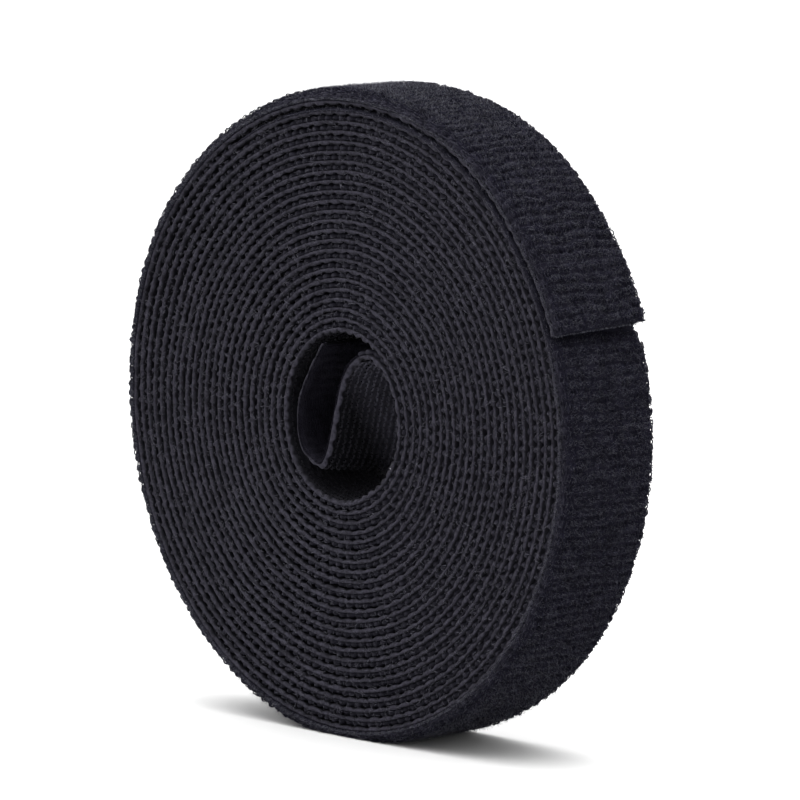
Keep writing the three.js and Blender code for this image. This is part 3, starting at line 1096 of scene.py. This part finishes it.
def add_inner_band():
    """The hook band of the inner turns, with the hooks in the bore and the lint on both faces."""
    q, lengths = spaced(Q_FLEX, Q_MIDDLE, BAND_SPACING)
    strip = hold(hook_band("wound_hook_band_inner", q, lengths, hook_material), "hook_tape", "roll")
    hooks = hook_rows("bore_hooks", Q_FLEX, Q_BORE_END, BORE_HOOK_SEED, hook_tip_material, SMALL_HOOKS)
    pieces = [hold(hooks, "hook_tape", "roll")]
    for name, face in (("front_lint", FRONT), ("back_lint", BACK)):
        lint = edge_lint(name, Q_SPIRAL, Q_PEEL, face, LINT_COUNT, LINT_SEEDS[face])
        pieces.append(hold(lint, "hook_tape", "roll"))
    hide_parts("winding_hook_layer")


def add_outer_band():
    q, lengths = spaced(Q_MIDDLE, Q_PEEL, BAND_SPACING)
    strip = hold(hook_band("wound_hook_band_outer", q, lengths, hook_material), "hook_tape", "roll")


def add_pressed_pile():
    """The pile between the turns, in two lengths."""
    q, lengths = spaced(Q_FLEX, Q_MIDDLE, PRESSED_SPACING)
    inner = hold(pressed_pile("wound_pile_inner", q, lengths), "loop_pile", "roll")
    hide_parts("winding_loop_layer")
    q, lengths = spaced(Q_MIDDLE, Q_UNDER_END, PRESSED_SPACING)
    outer = hold(pressed_pile("wound_pile_outer", q, lengths), "loop_pile", "roll")


def add_rim():
    """The pile on the outside, up to the free end. Its first part lies under the free end."""
    q, lengths = spaced(Q_UNDER_END, Q_PEEL, FREE_SPACING)
    pile = hold(free_pile("rim_pile", q, lengths, free_height(q), pile_material), "loop_pile", "roll")
    pieces = []
    shown = np.linspace(Q_UNCOVERED + SHOWN_MARGIN, Q_PEEL, RIM_PARTS)
    parts = np.append(Q_UNDER_END + COVERED_MARGIN, shown)
    for i in range(RIM_PARTS):
        across, density = (COVERED_LOOPS, COVERED_FUZZ) if i == 0 else (FREE_LOOPS, FREE_FUZZ)
        stretch = (parts[i], parts[i + 1], free_height)
        rows = pile_rows(f"rim_rows_{i + 1}", *stretch, across, RIM_ROW_SEED + i, yarn_material)
        fuzz = pile_fuzz(f"rim_fuzz_{i + 1}", *stretch, density, RIM_FUZZ_SEED + i)
        pieces += [hold(rows, "loop_pile", "roll"), hold(fuzz, "loop_pile", "roll")]


# The free outer end: one length of tape on each link, and places before and after each link's hinge.
BEND_BEFORE = 0.5
BEND_AFTER = 1.0


def add_link(link):
    before = "roll" if link == 1 else f"free_end_{link - 1}"
    start = Q_PEEL + link - 1
    end = min(start + 1, Q_END)
    bend = (before, f"free_end_{link}", spot(start - BEND_BEFORE), spot(start + BEND_AFTER))
    q, lengths = spaced(start, end, FREE_SPACING)
    hooks = hook_rows(f"free_end_hooks_{link}", start, end, LINK_HOOK_SEED + link, hook_tip_material)
    under_pieces = [hold(hooks, "hook_tape", *bend)]
    strip = hold(hook_band(f"free_end_band_{link}", q, lengths, hook_material), "hook_tape", *bend)
    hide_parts(f"free_end_hook_layer_{link}")
    if link == LINKS:
        under_pieces.append(hold(cut_edge("free_end_cut", CUT_SEED), "hook_tape", *bend))
    pile = free_pile(f"free_end_pile_{link}", q, lengths, free_height(q), pile_material)
    hold(pile, "loop_pile", *bend)
    stretch = (start, end, free_height)
    rows = pile_rows(f"free_end_rows_{link}", *stretch, FREE_LOOPS, LINK_ROW_SEED + link, yarn_material)
    fuzz = pile_fuzz(f"free_end_fuzz_{link}", *stretch, FREE_FUZZ, LINK_FUZZ_SEED + link)
    pile_pieces = [hold(rows, "loop_pile", *bend), hold(fuzz, "loop_pile", *bend)]
    if link == LINKS:
        pile_pieces.append(hold(end_fray("free_end_fray", FRAY_SEED), "loop_pile", *bend))
    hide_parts(f"free_end_loop_layer_{link}")


# The inner tail: its run, with places by the arch, and its end, with an offset beside the fold.
FLEX_BEND = 1.6
FOLD_BEND = Vector((-0.003, 0.0, 0.003))


def add_tail(name, start, end, material, hook_size, bend):
    q, lengths = spaced(start, end, TAIL_SPACING)
    strip = hold(hook_band(f"{name}_band", q, lengths, material), "hook_tape", *bend)
    hooks = hook_rows(f"{name}_hooks", start, end, TAIL_HOOK_SEED, tail_tip_material, hook_size)
    hold(hooks, "hook_tape", *bend)
    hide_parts(f"{name}_hook_layer")
    pile = free_pile(f"{name}_pile", q, lengths, tail_height(q), tail_pile_material)
    hold(pile, "loop_pile", *bend)
    stretch = (start, end, tail_height)
    rows = pile_rows(f"{name}_rows", *stretch, TAIL_LOOPS, TAIL_ROW_SEED, tail_pile_material)
    hold(rows, "loop_pile", *bend)
    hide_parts(f"{name}_loop_layer")


add_inner_band()
add_outer_band()
add_pressed_pile()
add_rim()
for link in range(1, LINKS + 1):
    add_link(link)
flex = ("roll", "tail_run", spot(Q_FLEX), spot(Q_FLEX - FLEX_BEND))
add_tail("tail_run", Q_FOLD, Q_FLEX, tail_hook_material, 1.0, flex)
crease = Vector(spot(Q_FOLD))
fold = ("tail_run", "tail_end", crease, crease + FOLD_BEND)
add_tail("tail_end", 0.0, Q_FOLD, tail_end_material, SMALL_HOOKS, fold)

# The floor, the light and the camera, in metres and degrees.
FLOOR_REACH = 4.0
FLOOR_LOOK = {"Base Color": (0.57, 0.57, 0.57, 1.0), "Roughness": 0.9, "Specular IOR Level": 0.1}
KEY_ENERGY = 0.9
KEY_SPREAD = 100
KEY_DIRECTION = (0.35, 0.35, -1.0)
CAMERA_AZIMUTH = 47.24
CAMERA_ELEVATION = 7.473
CAMERA_DISTANCE = 1.160
CAMERA_SENSOR = 36.0
CAMERA_LENS = 301.6
CAMERA_CLIP = (0.05, 50.0)
AIM_RIGHT, AIM_UP = 0.002652, 0.002480

# Light from the surroundings: a direction, where along it the light starts and ends to grow, and its levels.
AROUND_LIGHT = ((-0.73, 0.68, 0.0), -0.8, 0.8, 0.75, 1.65)
OVERHEAD_LIGHT = ((0.0, 0.0, 1.0), 0.75, 0.95, 0.0, 6.0)


def make_floor():
    mesh = bpy.data.meshes.new("floor")
    corners = [(x * FLOOR_REACH, y * FLOOR_REACH, 0) for x, y in ((-1, -1), (1, -1), (1, 1), (-1, 1))]
    mesh.from_pydata(corners, [], [(0, 1, 2, 3)])
    material, _, shader = nodes_of("floor_paper")
    set_inputs(shader, FLOOR_LOOK)
    mesh.materials.append(material)
    floor = add_object("floor", mesh)


def make_surroundings():
    """White surroundings, brighter behind the roll as the camera sees it, and brightest overhead."""
    world = bpy.data.worlds.new("studio")
    world.use_nodes = True
    tree = world.node_tree
    background = tree.nodes["Background"]
    background.inputs["Color"].default_value = (1.0, 1.0, 1.0, 1.0)
    where = tree.nodes.new("ShaderNodeTexCoord").outputs["Generated"]
    total = tree.nodes.new("ShaderNodeMath")
    for slot, (direction, *levels) in enumerate((AROUND_LIGHT, OVERHEAD_LIGHT)):
        level = mask_between(tree, distance_along(tree, where, direction), *levels)
        tree.links.new(level, total.inputs[slot])
    tree.links.new(total.outputs[0], background.inputs["Strength"])
    bpy.context.scene.world = world


def make_key_light():
    key = bpy.data.lights.new("key", "SUN")
    key.energy = KEY_ENERGY
    key.angle = math.radians(KEY_SPREAD)
    lamp = add_object("key", key)
    lamp.rotation_euler = Vector(KEY_DIRECTION).to_track_quat("-Z", "Y").to_euler()


def make_camera():
    azimuth = math.radians(CAMERA_AZIMUTH)
    elevation = math.radians(CAMERA_ELEVATION)
    level = math.cos(elevation)
    back = Vector((math.sin(azimuth) * level, -math.cos(azimuth) * level, math.sin(elevation)))
    right = Vector((math.cos(azimuth), math.sin(azimuth), 0.0))
    up = back.cross(right)
    centre = Vector((0.0, 0.0, AXIS_HEIGHT * MM))
    data = bpy.data.cameras.new("camera")
    data.sensor_width = CAMERA_SENSOR
    data.lens = CAMERA_LENS
    data.clip_start, data.clip_end = CAMERA_CLIP
    camera = add_object("camera", data)
    camera.location = centre + back * CAMERA_DISTANCE
    aim = centre + right * AIM_RIGHT + up * AIM_UP
    camera.rotation_euler = (aim - camera.location).to_track_quat("-Z", "Y").to_euler()
    bpy.context.scene.camera = camera
    bpy.context.scene.view_settings.view_transform = "Standard"


make_floor()
make_surroundings()
make_key_light()
make_camera()
